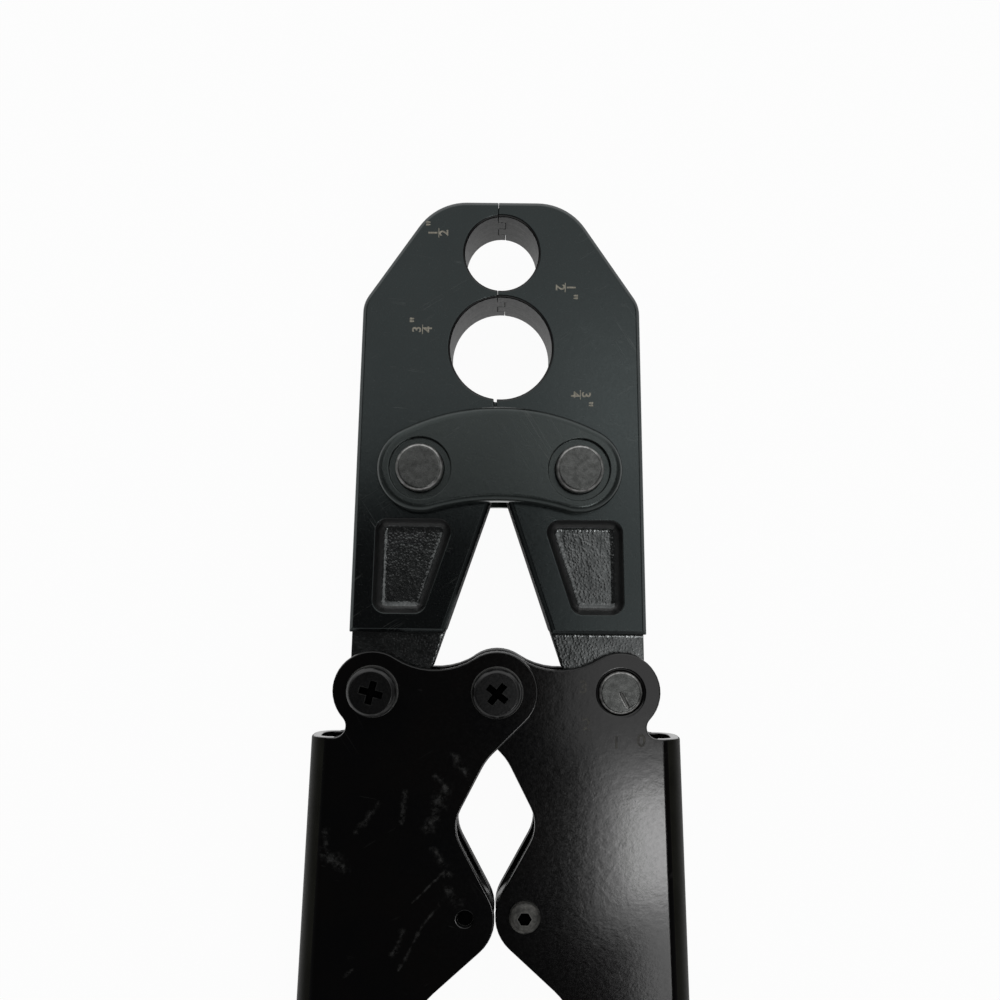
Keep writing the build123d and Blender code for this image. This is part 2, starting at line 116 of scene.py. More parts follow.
# %% Helpers that join nodes
def feed(tree, socket, value):
    """Set a socket to a number, or link another socket to it."""
    if isinstance(value, (int, float)):
        socket.default_value = value
    else:
        tree.links.new(value, socket)


def add_range(tree, value, low, high, to_low=0.0, to_high=1.0, smooth=False):
    """Stretch a value between two limits, which are numbers or sockets, and hold it inside them."""
    stretch = tree.nodes.new("ShaderNodeMapRange")
    stretch.interpolation_type = "SMOOTHSTEP" if smooth else "LINEAR"
    titles = ("Value", "From Min", "From Max", "To Min", "To Max")
    for title, limit in zip(titles, (value, low, high, to_low, to_high)):
        feed(tree, stretch.inputs[title], limit)
    return stretch.outputs["Result"]


def add_math(tree, operation, first, second=0.0):
    """One sum of two values, which are numbers or sockets."""
    node = tree.nodes.new("ShaderNodeMath")
    node.operation = operation
    feed(tree, node.inputs[0], first)
    feed(tree, node.inputs[1], second)
    return node.outputs[0]


print("helpers for nodes ready")

# %% Make the room pale all round and dark overhead
side_light, end_light, tail_share, overhead_light = 0.24, 1.25, 0.55, 0.03
room = bpy.data.worlds.new("Room")
bpy.context.scene.world = room
room.use_nodes = True
tree = room.node_tree
direction = tree.nodes.new("ShaderNodeTexCoord")
split = tree.nodes.new("ShaderNodeSeparateXYZ")
tree.links.new(direction.outputs["Generated"], split.inputs["Vector"])
along, up = split.outputs["Y"], split.outputs["Z"]
both_ends = add_range(tree, add_math(tree, "POWER", along, 2), 0.10, 0.60, side_light, end_light)
around = add_math(tree, "MULTIPLY", both_ends, add_range(tree, along, -0.5, 0.3, tail_share, 1.0))
strength = add_range(tree, up, 0.40, 0.86, around, overhead_light, smooth=True)
tree.links.new(strength, tree.nodes["Background"].inputs["Strength"])
tree.nodes["Background"].inputs["Color"].default_value = (1, 1, 1, 1)
print("room with", len(tree.nodes), "nodes")


# %% Lay the floor
floor_radius = 4
bpy.ops.mesh.primitive_circle_add(vertices=96, radius=floor_radius, fill_type="NGON", location=(0, 0, 0))
floor = bpy.context.object
floor.name = "Floor"
print("floor", [round(c, 2) for c in floor.dimensions])


# %% Make the floor white to the eye
def new_material(name):
    """A material with its own node tree, and the nodes and links in it."""
    material = bpy.data.materials.new(name)
    material.use_nodes = True
    return material, material.node_tree.nodes, material.node_tree.links


glow_share, pale_grey = 0.96, (0.85, 0.85, 0.85, 1)
floor_white, nodes, links = new_material("Floor white")
tree = floor_white.node_tree
nodes.remove(nodes["Principled BSDF"])
diffuse = nodes.new("ShaderNodeBsdfDiffuse")
diffuse.inputs["Color"].default_value = pale_grey
glow = nodes.new("ShaderNodeEmission")
path = nodes.new("ShaderNodeLightPath")
seen = add_math(tree, "MAXIMUM", path.outputs["Is Camera Ray"], path.outputs["Is Glossy Ray"])
seen = add_math(tree, "MAXIMUM", seen, path.outputs["Is Transmission Ray"])
blend = nodes.new("ShaderNodeMixShader")
links.new(add_math(tree, "MULTIPLY", seen, glow_share), blend.inputs["Fac"])
links.new(diffuse.outputs[0], blend.inputs[1])
links.new(glow.outputs[0], blend.inputs[2])
links.new(blend.outputs[0], nodes["Material Output"].inputs["Surface"])
floor.data.materials.append(floor_white)
print("floor material with", len(nodes), "nodes")


# %% [markdown]
# ## Shared surface effects
# The same few things happen to every surface of a used tool: its colour is mottled, its edges are rubbed bright,
# it is scratched, and its skin isn't flat. Each effect is a node group with named inputs, built once and placed
# in the materials with other values. All of them read Object coordinates, so they are the same size everywhere.

# %% Helpers for node groups
def new_group(name, inputs, outputs):
    """An empty shader node group with float inputs and outputs, and the coordinates that patterns read."""
    group = bpy.data.node_groups.new(name, "ShaderNodeTree")
    for title, value in inputs.items():
        socket = group.interface.new_socket(title, in_out="INPUT", socket_type="NodeSocketFloat")
        socket.default_value = value
    for title in outputs:
        group.interface.new_socket(title, in_out="OUTPUT", socket_type="NodeSocketFloat")
    start = group.nodes.new("NodeGroupInput")
    end = group.nodes.new("NodeGroupOutput")
    coordinates = group.nodes.new("ShaderNodeTexCoord")
    return group, start, end, coordinates.outputs["Object"]


def close_group(group, end, **results):
    """Join the results to the outputs of a group."""
    for title, result in results.items():
        group.links.new(result, end.inputs[title])
    print(group.name, "group with", len(group.nodes), "nodes")


def add_noise(tree, vector, scale, detail=2.0, rough=0.5):
    """A noise texture, whose scale is a number or a socket."""
    noise = tree.nodes.new("ShaderNodeTexNoise")
    noise.inputs["Detail"].default_value = detail
    noise.inputs["Roughness"].default_value = rough
    tree.links.new(vector, noise.inputs["Vector"])
    feed(tree, noise.inputs["Scale"], scale)
    return noise.outputs["Fac"]


def add_vector(tree, operation, first, second=None, scale=None):
    """One vector operation on two sockets, or on a socket and a scale."""
    node = tree.nodes.new("ShaderNodeVectorMath")
    node.operation = operation
    tree.links.new(first, node.inputs[0])
    if second is not None:
        tree.links.new(second, node.inputs[1])
    if scale is not None:
        tree.links.new(scale, node.inputs["Scale"])
    return node


print("helpers for groups ready")

# %% Mottling and fine speckle
mottle, start, end, place = new_group(
    "Mottle", {"Patch scale": 90.0, "Speckle scale": 2600.0}, ("Patches", "Speckle"))
patches = add_noise(mottle, place, start.outputs["Patch scale"], 4.0, 0.6)
speckle = add_noise(mottle, place, start.outputs["Speckle scale"], 2.0, 0.7)
close_group(
    mottle, end, Patches=add_range(mottle, patches, 0.35, 0.65), Speckle=add_range(mottle, speckle, 0.3, 0.7))

# %% Rubbed edges
rub_radius, blunt, sharp = 0.45, 0.985, 0.87
edge_rub, start, end, place = new_group("Rubbed edges", {"Breakup": 700.0, "Reach": 0.3}, ("Mask",))
bevel = edge_rub.nodes.new("ShaderNodeBevel")
bevel.samples = 6
bevel.inputs["Radius"].default_value = rub_radius * mm
facing = edge_rub.nodes.new("ShaderNodeNewGeometry")
turn = add_vector(edge_rub, "DOT_PRODUCT", bevel.outputs["Normal"], facing.outputs["True Normal"])
edge = add_range(edge_rub, turn.outputs["Value"], blunt, sharp)
breakup = add_noise(edge_rub, place, start.outputs["Breakup"], 3.0, 0.65)
reach = start.outputs["Reach"]
kept = add_range(edge_rub, breakup, reach, add_math(edge_rub, "ADD", reach, 0.3))
close_group(edge_rub, end, Mask=add_math(edge_rub, "MULTIPLY", edge, kept))

# %% Hair scratches in three directions
scratch_stretch, scratch_width, scratch_gate = 33, 0.006, 0.72
scratch, start, end, place = new_group("Hair scratches", {"Fineness": 260.0, "Amount": 0.06}, ("Mask",))
lines = []
for angle, seed in ((34, 0.0), (-58, 3.7), (81, 9.1)):
    turned = scratch.nodes.new("ShaderNodeMapping")
    turned.vector_type = "TEXTURE"
    turned.inputs["Rotation"].default_value = (0, 0, radians(angle))
    turned.inputs["Location"].default_value = (seed, seed, 0)
    turned.inputs["Scale"].default_value = (1, scratch_stretch, 1)
    scratch.links.new(place, turned.inputs["Vector"])
    streak = add_noise(scratch, turned.outputs["Vector"], start.outputs["Fineness"], 3.0, 0.55)
    off_line = add_math(scratch, "ABSOLUTE", add_math(scratch, "SUBTRACT", streak, 0.5))
    line = add_range(scratch, off_line, scratch_width, 0.0)
    short = add_noise(scratch, place, 60.0 + 25.0 * seed, 1.0, 0.5)
    limit = add_math(scratch, "SUBTRACT", scratch_gate, start.outputs["Amount"])
    lines.append(add_math(scratch, "MULTIPLY", line, add_range(scratch, short, limit, scratch_gate)))
two_ways = add_math(scratch, "MAXIMUM", lines[0], lines[1])
close_group(scratch, end, Mask=add_math(scratch, "MAXIMUM", two_ways, lines[2]))

# %% Uneven skin
skin, start, end, place = new_group(
    "Uneven skin", {"Coarse scale": 500.0, "Fine scale": 2200.0, "Fine share": 0.35}, ("Height",))
coarse = add_noise(skin, place, start.outputs["Coarse scale"], 3.0, 0.55)
fine = add_noise(skin, place, start.outputs["Fine scale"], 2.0, 0.6)
fine = add_math(skin, "MULTIPLY", fine, start.outputs["Fine share"])
close_group(skin, end, Height=add_math(skin, "ADD", coarse, fine))

# %% Scuffs, each along a line between two places
scuff_inputs = {"From X": 0.0, "From Y": 0.0, "To X": 0.0, "To Y": 0.01, "Width": 0.0005, "Breakup": 900.0}
scuff, start, end, place = new_group("Scuff", scuff_inputs, ("Mask",))
points = []
for name in ("From", "To"):
    point = scuff.nodes.new("ShaderNodeCombineXYZ")
    scuff.links.new(start.outputs[name + " X"], point.inputs["X"])
    scuff.links.new(start.outputs[name + " Y"], point.inputs["Y"])
    points.append(point.outputs["Vector"])
flat = scuff.nodes.new("ShaderNodeVectorMath")
flat.operation = "MULTIPLY"
flat.inputs[1].default_value = (1, 1, 0)
scuff.links.new(place, flat.inputs[0])
reach = add_vector(scuff, "SUBTRACT", flat.outputs["Vector"], points[0]).outputs["Vector"]
run = add_vector(scuff, "SUBTRACT", points[1], points[0]).outputs["Vector"]
done = add_vector(scuff, "DOT_PRODUCT", reach, run).outputs["Value"]
whole = add_vector(scuff, "DOT_PRODUCT", run, run).outputs["Value"]
share = add_range(scuff, add_math(scuff, "DIVIDE", done, whole), 0.0, 1.0)
nearest = add_vector(scuff, "SCALE", run, scale=share).outputs["Vector"]
aside = add_vector(scuff, "SUBTRACT", reach, nearest).outputs["Vector"]
away = add_vector(scuff, "LENGTH", aside).outputs["Value"]
ragged = add_math(scuff, "SUBTRACT", add_noise(scuff, place, 650.0, 3.0, 0.65), 0.5)
ragged = add_math(scuff, "MULTIPLY", add_math(scuff, "MULTIPLY", ragged, 3.0), start.outputs["Width"])
near = add_range(scuff, add_math(scuff, "ADD", away, ragged), start.outputs["Width"], 0.0)
near = add_math(scuff, "MULTIPLY", near, near)
torn = add_range(scuff, add_noise(scuff, place, start.outputs["Breakup"], 5.0, 0.72), 0.40, 0.66)
close_group(scuff, end, Mask=add_math(scuff, "MULTIPLY", near, torn))

# %% Forged grain, like coarse leather
grain, start, end, place = new_group(
    "Forged grain", {"Grain scale": 1400.0, "Swell": 0.6}, ("Height", "Crest"))
cells = grain.nodes.new("ShaderNodeTexVoronoi")
cells.feature = "SMOOTH_F1"
cells.inputs["Smoothness"].default_value = 0.5
grain.links.new(place, cells.inputs["Vector"])
grain.links.new(start.outputs["Grain scale"], cells.inputs["Scale"])
crest = add_range(grain, cells.outputs["Distance"], 0.65, 0.05)
swell = add_noise(grain, place, add_math(grain, "MULTIPLY", start.outputs["Grain scale"], 0.35), 1.5, 0.5)
swell = add_math(grain, "MULTIPLY", swell, start.outputs["Swell"])
close_group(grain, end, Height=add_math(grain, "ADD", crest, swell), Crest=crest)


# %% [markdown]
# ## Finishes
# Each finish starts as one shader whose colour wanders between two tones. The groups above then lay specks,
# scratches and worn edges over that colour, vary its roughness and make its skin uneven. The jaws are blackened
# steel, the handles are painted, and the pins are dark drawn steel with rims rubbed bright. What is the same all
# over is set on the shader itself.

# %% Helpers that start a finish, lay colours over it, make it uneven and scuff it
def add_group(material, group, **values):
    """Place a node group in a material, with its own values."""
    node = material.node_tree.nodes.new("ShaderNodeGroup")
    node.node_tree = group
    for title, value in values.items():
        node.inputs[title.replace("_", " ")].default_value = value
    return node


def mix_colours(material, under, over, mask):
    """A colour or a socket, with another colour over it where the mask is."""
    tree = material.node_tree
    mix = tree.nodes.new("ShaderNodeMix")
    mix.data_type = "RGBA"
    for title, colour in (("A", under), ("B", over)):
        socket = next(s for s in mix.inputs if s.name == title and s.type == "RGBA")
        if isinstance(colour, tuple):
            socket.default_value = (*colour, 1)
        else:
            tree.links.new(colour, socket)
    tree.links.new(mask, mix.inputs["Factor"])
    return next(s for s in mix.outputs if s.type == "RGBA")


def lay_over(material, colour, mask, strength=1.0):
    """Put a colour over whatever feeds the shader's colour, where a mask is."""
    tree = material.node_tree
    target = tree.nodes["Principled BSDF"].inputs["Base Color"]
    if strength != 1.0:
        mask = add_math(tree, "MULTIPLY", mask, strength)
    tree.links.new(mix_colours(material, target.links[0].from_socket, colour, mask), target)


def start_finish(name, tones, rough, patch, speck, **constants):
    """A shader whose colour wanders between two tones and whose roughness follows fine specks."""
    material, nodes, links = new_material(name)
    shader = nodes["Principled BSDF"]
    for title, value in constants.items():
        shader.inputs[title.replace("_", " ")].default_value = value
    cloudy = add_group(material, mottle, Patch_scale=patch, Speckle_scale=speck)
    links.new(mix_colours(material, *tones, cloudy.outputs["Patches"]), shader.inputs["Base Color"])
    roughness = add_range(material.node_tree, cloudy.outputs["Speckle"], 0.0, 1.0, *rough)
    links.new(roughness, shader.inputs["Roughness"])
    print(name, "started from", tones[0])
    return material


def add_bump(material, depth, height):
    """Make a finish uneven, by a depth in millimetres, where a height says."""
    tree = material.node_tree
    bump = tree.nodes.new("ShaderNodeBump")
    bump.inputs["Distance"].default_value = depth * mm
    tree.links.new(height, bump.inputs["Height"])
    tree.links.new(bump.outputs["Normal"], tree.nodes["Principled BSDF"].inputs["Normal"])


def add_skin(material, depth, coarse, fine, share, calm=1.0):
    """An uneven skin from two scales and the share of the finer one, which a mask can calm."""
    uneven = add_group(material, skin, Coarse_scale=coarse, Fine_scale=fine, Fine_share=share)
    height = uneven.outputs["Height"]
    add_bump(material, depth, height if calm == 1.0 else add_math(material.node_tree, "MULTIPLY", height, calm))


def lay_scuff(material, line, breakup, colour, strength):
    """Lay a scuff over a finish, on a line of (from u, from v, to u, to v, width) in millimetres."""
    u, v, to_u, to_v, width = line
    a, b = spot(u, v), spot(to_u, to_v)
    rub = add_group(
        material, scuff, From_X=a.x, From_Y=a.y, To_X=b.x, To_Y=b.y, Width=width * mm, Breakup=breakup)
    lay_over(material, colour, rub.outputs["Mask"], strength)


print("helpers for finishes ready")

# %% Blackened steel of the jaws, and a paler one for the link
oxide = start_finish(
    "Blackened steel", ((0.0042, 0.0054, 0.0056), (0.0072, 0.0088, 0.0090)), (0.16, 0.23), 70, 2400,
    Specular_Tint=(0.86, 1, 1, 1))
link_oxide = start_finish(
    "Blackened link steel", ((0.0085, 0.0105, 0.0102), (0.0140, 0.0165, 0.0160)), (0.19, 0.27), 70, 2400,
    Specular_Tint=(0.88, 1, 0.98, 1), Specular_IOR_Level=0.58)

# %% [markdown]
# ### Painted shade, smudges and wear on the blackened steel
# The low end of the left jaw is darker and smoother, and pale smudges lie on the right jaw. The darkness is
# painted
# shade: a mask of two soft steps, one down the tool and one across it, darkens the colour, lowers the roughness
# and calms the skin. A second finish would do it too, but it would end at a hard line.

# %% Painted shade at the low end of the left jaw, and smudges on the right one
shade_from_v, shade_to_v, shade_from_u, shade_to_u = 44, 30, 14, -10
shaded_end_rough, shaded_end_skin = 0.75, 0.3
tree = oxide.node_tree
across = tree.nodes.new("ShaderNodeSeparateXYZ")
position = tree.nodes.new("ShaderNodeTexCoord")
tree.links.new(position.outputs["Object"], across.inputs["Vector"])
low_end = add_range(tree, across.outputs["Y"], spot(0, shade_from_v).y, spot(0, shade_to_v).y)
left_side = add_range(tree, across.outputs["X"], spot(shade_from_u, 0).x, spot(shade_to_u, 0).x)
shade_and_smoothing = add_math(tree, "MULTIPLY", low_end, left_side)
# Painted shade: the colour is darkened towards the low end and the left of the jaws, and the same mask smooths
# them
lay_over(oxide, (0.0022, 0.0021, 0.0024), shade_and_smoothing, 0.8)
rough_socket = tree.nodes["Principled BSDF"].inputs["Roughness"]
smoother = add_range(tree, shade_and_smoothing, 0.0, 1.0, 1.0, shaded_end_rough)
tree.links.new(add_math(tree, "MULTIPLY", rough_socket.links[0].from_socket, smoother), rough_socket)
smudges = (
    (22.0, 67.5, 29.0, 66.5, 2.6), (30.0, 57.0, 33.0, 56.0, 2.0), (16.0, 76.0, 20.0, 71.0, 2.0))
for line in smudges:
    lay_scuff(oxide, line, 500.0, (0.048, 0.056, 0.058), 0.4)
print(oxide.name, "has oil and", len(smudges), "smudges")

# %% Grit, hair scratches and worn edges on both blackened steels
for material, calm in ((oxide, add_range(tree, shade_and_smoothing, 0.0, 1.0, 1.0, shaded_end_skin)), (link_oxide, 1.0)):
    grit = add_group(material, mottle, Patch_scale=420.0, Speckle_scale=3600.0)
    hair = add_group(material, scratch, Fineness=240.0, Amount=0.13)
    worn = add_group(material, edge_rub, Breakup=420.0, Reach=0.40)
    lay_over(material, (0.050, 0.054, 0.053), add_range(material.node_tree, grit.outputs["Speckle"], 0.84, 1.2))
    lay_over(material, (0.075, 0.078, 0.075), hair.outputs["Mask"], 0.5)
    lay_over(material, (0.13, 0.13, 0.125), worn.outputs["Mask"], 0.7)
    add_skin(material, 0.008, 900.0, 3200.0, 0.5, calm)
    print(material.name, "worn")

# %% Forged skin in the pockets and on the tangs, and the rough sides of jaws and sheet
forged = start_finish(
    "Forged skin", ((0.060, 0.064, 0.064), (0.100, 0.106, 0.106)), (0.20, 0.12), 300, 1500, Metallic=0.9)
# The walls of the pockets take a darker copy of the forged skin, which is painted shade
shaded_forged_wall = start_finish(
    "Forged wall painted shade", ((0.0060, 0.0065, 0.0066), (0.0110, 0.0118, 0.0118)), (0.30, 0.42), 300, 1500)
for material, crest_tone in ((forged, 0.20), (shaded_forged_wall, 0.03)):
    leather = add_group(material, grain, Grain_scale=1900.0, Swell=0.7)
    lay_over(material, (crest_tone, crest_tone, crest_tone), leather.outputs["Crest"], 0.3)
    add_bump(material, 0.017, leather.outputs["Height"])
rough_black = start_finish(
    "Rough black side", ((0.0030, 0.0032, 0.0034), (0.0065, 0.0066, 0.0066)), (0.66, 0.82), 200, 2600,
    Specular_IOR_Level=0.12)
add_skin(rough_black, 0.03, 700.0, 2400.0, 0.6)
# A near-black finish for painted shade in the recesses of the screws
recess_shade_black = start_finish(
    "Painted recess shade", ((0.0003, 0.0003, 0.0003), (0.0008, 0.0008, 0.0008)), (0.70, 0.85), 200, 2600,
    Specular_IOR_Level=0.03)
add_skin(recess_shade_black, 0.03, 700.0, 2400.0, 0.6)

# %% Bored steel of the dies, with the marks of the boring tool
bored = start_finish(
    "Bored steel", ((0.016, 0.017, 0.017), (0.036, 0.037, 0.036)), (0.46, 0.60), 300, 2600,
    Metallic=0.3, Specular_IOR_Level=0.3)
ring_squeeze, tree = 60, bored.node_tree
rings = tree.nodes.new("ShaderNodeMapping")
rings.inputs["Scale"].default_value = (1, 1, ring_squeeze)
position = tree.nodes.new("ShaderNodeTexCoord")
tree.links.new(position.outputs["Object"], rings.inputs["Vector"])
tool_marks = add_noise(tree, rings.outputs["Vector"], 90.0, 2.0, 0.6)
lay_over(bored, (0.085, 0.085, 0.082), add_range(tree, tool_marks, 0.5, 0.8))
add_skin(bored, 0.02, 600.0, 2600.0, 0.6)

# %% Black paint of the handles, and the dull paint of their outer walls
paint = start_finish(
    "Handle paint", ((0.0008, 0.0009, 0.0012), (0.0018, 0.0014, 0.0013)), (0.09, 0.13), 45, 1500)
hair = add_group(paint, scratch, Fineness=170.0, Amount=0.08)
worn = add_group(paint, edge_rub, Breakup=300.0, Reach=0.44)
lay_over(paint, (0.024, 0.024, 0.023), hair.outputs["Mask"], 0.5)
lay_over(paint, (0.050, 0.050, 0.048), worn.outputs["Mask"], 0.5)
add_skin(paint, 0.0088, 620.0, 2200.0, 0.4)
wall_paint = start_finish(
    "Rubbed wall paint", ((0.0075, 0.0075, 0.0058), (0.0120, 0.0120, 0.0094)), (0.36, 0.48), 120, 1800,
    Specular_IOR_Level=0.08)
add_skin(wall_paint, 0.012, 620.0, 2200.0, 0.4)

# %% Scuffs in the paint, most of them on the left handle
thin_scuff, thin_breakup, wide_breakup = 0.6, 260.0, 750.0
scuffs = (
    (-8.3, -13.4, -6.0, -17.0, 1.3), (-12.4, -17.0, -9.6, -19.9, 0.9), (-10.4, -19.9, -14.0, -28.0, 2.0),
    (-18.6, -20.4, -19.3, -26.4, 0.8), (-24.3, -23.3, -28.4, -28.6, 0.9), (-34.4, -28.2, -34.4, -31.0, 1.0),
    (-34.8, -33.0, -31.0, -36.0, 1.9), (-12.3, -32.0, -9.5, -37.4, 1.3), (-10.2, -36.3, -16.9, -43.0, 0.35),
    (-9.5, -40.8, -7.1, -43.0, 1.4), (-10.2, -41.8, -15.0, -48.0, 0.5), (-15.0, -48.0, -19.4, -56.7, 0.5),
    (-18.6, -48.5, -20.7, -53.5, 0.9), (-28.9, -56.7, -30.6, -58.0, 0.6), (17.2, -38.0, 18.0, -46.9, 0.4),
    (13.9, -25.6, 14.1, -27.0, 0.4), (26.0, -20.6, 28.7, -22.6, 0.3), (32.6, -20.4, 34.2, -20.8, 0.3))
for line in scuffs:
    breakup = thin_breakup if line[-1] < thin_scuff else wide_breakup
    lay_scuff(paint, line, breakup, (0.042, 0.042, 0.041), 0.9)
print(len(scuffs), "scuffs")

# %% Drawn steel of the pins, black screws, plain spacers and moulded rubber
drawn = start_finish(
    "Drawn steel", ((0.054, 0.056, 0.054), (0.098, 0.101, 0.098)), (0.22, 0.32), 900, 2600, Metallic=0.8)
rubbed = start_finish(
    "Rubbed rim", ((0.16, 0.16, 0.155), (0.46, 0.46, 0.45)), (0.30, 0.42), 900, 2600, Metallic=0.9)
screw_black = start_finish(
    "Screw black", ((0.0012, 0.0013, 0.0014), (0.0028, 0.0029, 0.0030)), (0.16, 0.24), 300, 2600)
dull_steel = start_finish(
    "Dull screw steel", ((0.038, 0.038, 0.036), (0.110, 0.108, 0.100)), (0.36, 0.52), 700, 2600, Metallic=0.6)
plain_steel = start_finish(
    "Plain steel", ((0.030, 0.030, 0.030), (0.060, 0.060, 0.058)), (0.34, 0.48), 220, 2200, Metallic=0.6)
rubber = start_finish(
    "Grip rubber", ((0.0090, 0.0090, 0.0095), (0.0150, 0.0150, 0.0152)), (0.52, 0.70), 60, 2000)
for material, breakup, reach, bright, strength, depth in (
        (drawn, 500.0, 0.10, 0.36, 0.9, 0.008), (rubbed, 500.0, 0.30, 0.40, 0.5, 0.008),
        (screw_black, 420.0, 0.34, 0.05, 0.6, 0.006),
        (dull_steel, 500.0, 0.25, 0.20, 0.6, 0.014), (plain_steel, 500.0, 0.25, 0.20, 0.6, 0.012),
        (rubber, 160.0, 0.40, 0.035, 0.5, 0.10)):
    worn = add_group(material, edge_rub, Breakup=breakup, Reach=reach)
    hair = add_group(material, scratch, Fineness=520.0, Amount=0.18)
    lay_over(material, (bright / 3, bright / 3, bright / 3), hair.outputs["Mask"], 0.4)
    lay_over(material, (bright, bright, 0.96 * bright), worn.outputs["Mask"], strength)
    add_skin(material, depth, 1100.0, 2800.0, 0.6)
print(len(bpy.data.materials), "materials")


# %% [markdown]
# ## Every solid gets its finish
# The record says which slot each solid takes its finish from. A table joins each slot to one of the finishes
# above, so that pieces hidden inside the tool are finished as carefully as those that show. Two kinds of piece
# differ from the rest of their slot: the link plates are paler than the jaws, and the stop screws are dull.

# %% Dress the solids by their slots
finish_of_slot = {
    "jaw_steel": oxide, "handle_paint": paint, "pin_steel": drawn, "screw_steel": screw_black,
    "spacer_steel": plain_steel, "grip_rubber": rubber}
finish_of_node = {
    "front_link_plate": link_oxide, "rear_link_plate": link_oxide,
    "left_stop_screw": dull_steel, "right_stop_screw": dull_steel}
for name, node in frame["nodes"].items():
    node.data.materials.clear()
    node.data.materials.append(finish_of_node.get(name, finish_of_slot[slot_of[name]]))
print("dressed", len(frame["nodes"]), "solids")


# %% [markdown]
# ## Broken edges
# No edge on a real tool is perfectly sharp: a file, a tumbler or the paint rounds it, and the round catches the
# light. The solids have sharp edges, so a copy of each main piece is merged, its flat faces are joined, and a
# bevel breaks its edges. The copy then stands for the solid. Bevelling each edge by hand would take longer and
# gain nothing. The rims of the pins have lost their black, so their bevels take the bright rubbed steel.

# %% Copy a solid and break its edges
merge_gap, flat_angle = 0.001, 0.4


def stand_for(piece, node):
    """Let a piece stand for a solid, on the solid's body, and hide the solid."""
    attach(piece, body_of[node])
    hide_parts(node)


def set_mode(name):
    """Go into a mesh to edit it, or back out."""
    bpy.ops.object.mode_set(mode=name)


def select_only(piece):
    """Make one object the only selected and active one."""
    bpy.ops.object.select_all(action="DESELECT")
    piece.select_set(True)
    bpy.context.view_layer.objects.active = piece


def copy_solid(node):
    """A copy of a solid with its triangles merged and its flat faces joined."""
    piece = place_object(node + "_worn", frame["nodes"][node].data.copy())
    select_only(piece)
    bpy.ops.mesh.customdata_custom_splitnormals_clear()
    set_mode("EDIT")
    bpy.ops.mesh.select_all(action="SELECT")
    bpy.ops.mesh.remove_doubles(threshold=merge_gap * mm)
    bpy.ops.mesh.dissolve_limited(angle_limit=radians(flat_angle))
    set_mode("OBJECT")
    stand_for(piece, node)
    return piece


def break_edges(piece, width, sharp=30, segments=2):
    """Round every edge that is sharper than an angle."""
    select_only(piece)
    bpy.ops.object.modifier_add(type="BEVEL")
    bevel = piece.modifiers[-1]
    bevel.width = width
    bevel.segments = segments
    bevel.limit_method = "ANGLE"
    bevel.angle_limit = radians(sharp)
    bevel.use_clamp_overlap = False
    bevel.miter_outer = "MITER_ARC"
    bpy.ops.object.modifier_apply(modifier=bevel.name)


def shade_flats(piece, angle=35):
    """Smooth shading that keeps large flats flat."""
    select_only(piece)
    bpy.ops.object.shade_smooth_by_angle(angle=radians(angle))
    bpy.ops.object.modifier_add(type="WEIGHTED_NORMAL")
    weighted = piece.modifiers[-1]
    weighted.keep_sharp = True
    bpy.ops.object.modifier_apply(modifier=weighted.name)


def triangles(piece):
    """How many triangles a piece has."""
    return sum(len(face.vertices) - 2 for face in piece.data.polygons)


print("edge tools ready")

# %% Break the edges of plates, pins, nut, washers and barrels
steepest, flattest = 0.15, 0.97
for node, width in (
        ("front_link_plate", 0.2), ("rear_link_plate", 0.2), ("left_link_pin", 0.36), ("right_link_pin", 0.36),
        ("adjusting_pin", 0.26), ("adjuster_nut", 0.3), ("adjuster_washer", 0.15), ("centre_pivot_barrel", 0.2),
        ("left_jaw_pivot_barrel", 0.2), ("centre_pivot_washer", 0.14), ("left_jaw_pivot_washer", 0.14)):
    piece = copy_solid(node)
    break_edges(piece, width * mm)
    if slot_of[node] == "pin_steel":
        piece.data.materials.append(rubbed)
        for face in piece.data.polygons:
            face.material_index = int(steepest < abs(face.normal.z) < flattest)
    shade_flats(piece)
    print(piece.name, triangles(piece), "triangles")


# %% [markdown]
# ## Screws
# The screws are black, and the driver has rubbed only the rims of their heads. Rounding every edge would spoil
# the narrow cross, so the sharp edges are selected first, those near the axis are let go, and only the rest are
# bevelled. The recesses and the sunk tips of the stop screws are rough and painted near black, as painted shade.

# %% Choose edges and bevel them
def let_go(*parts):
    """Unselect all faces, edges or corners of a mesh."""
    for part in parts:
        for item in part:
            item.select = False


def choose_edges(piece, test):
    """Select the edges whose middle passes a test, and nothing else."""
    let_go(piece.data.polygons, piece.data.vertices)
    for line in piece.data.edges:
        ends = [piece.data.vertices[i].co - pivot for i in line.vertices]
        line.select = test(line, (ends[0] + ends[1]) / 2)


def bevel_chosen(piece, width, segments):
    """Bevel the selected edges."""
    bpy.context.tool_settings.mesh_select_mode = (False, True, False)
    set_mode("EDIT")
    bpy.ops.mesh.bevel(offset=width, segments=segments, affect="EDGES", clamp_overlap=False)
    set_mode("OBJECT")


def off_axis(middle, u, v):
    """How far a place lies from an upright axis, in millimetres."""
    return hypot(middle.x / mm - u, middle.y / mm - v)


print("edge choosers ready")
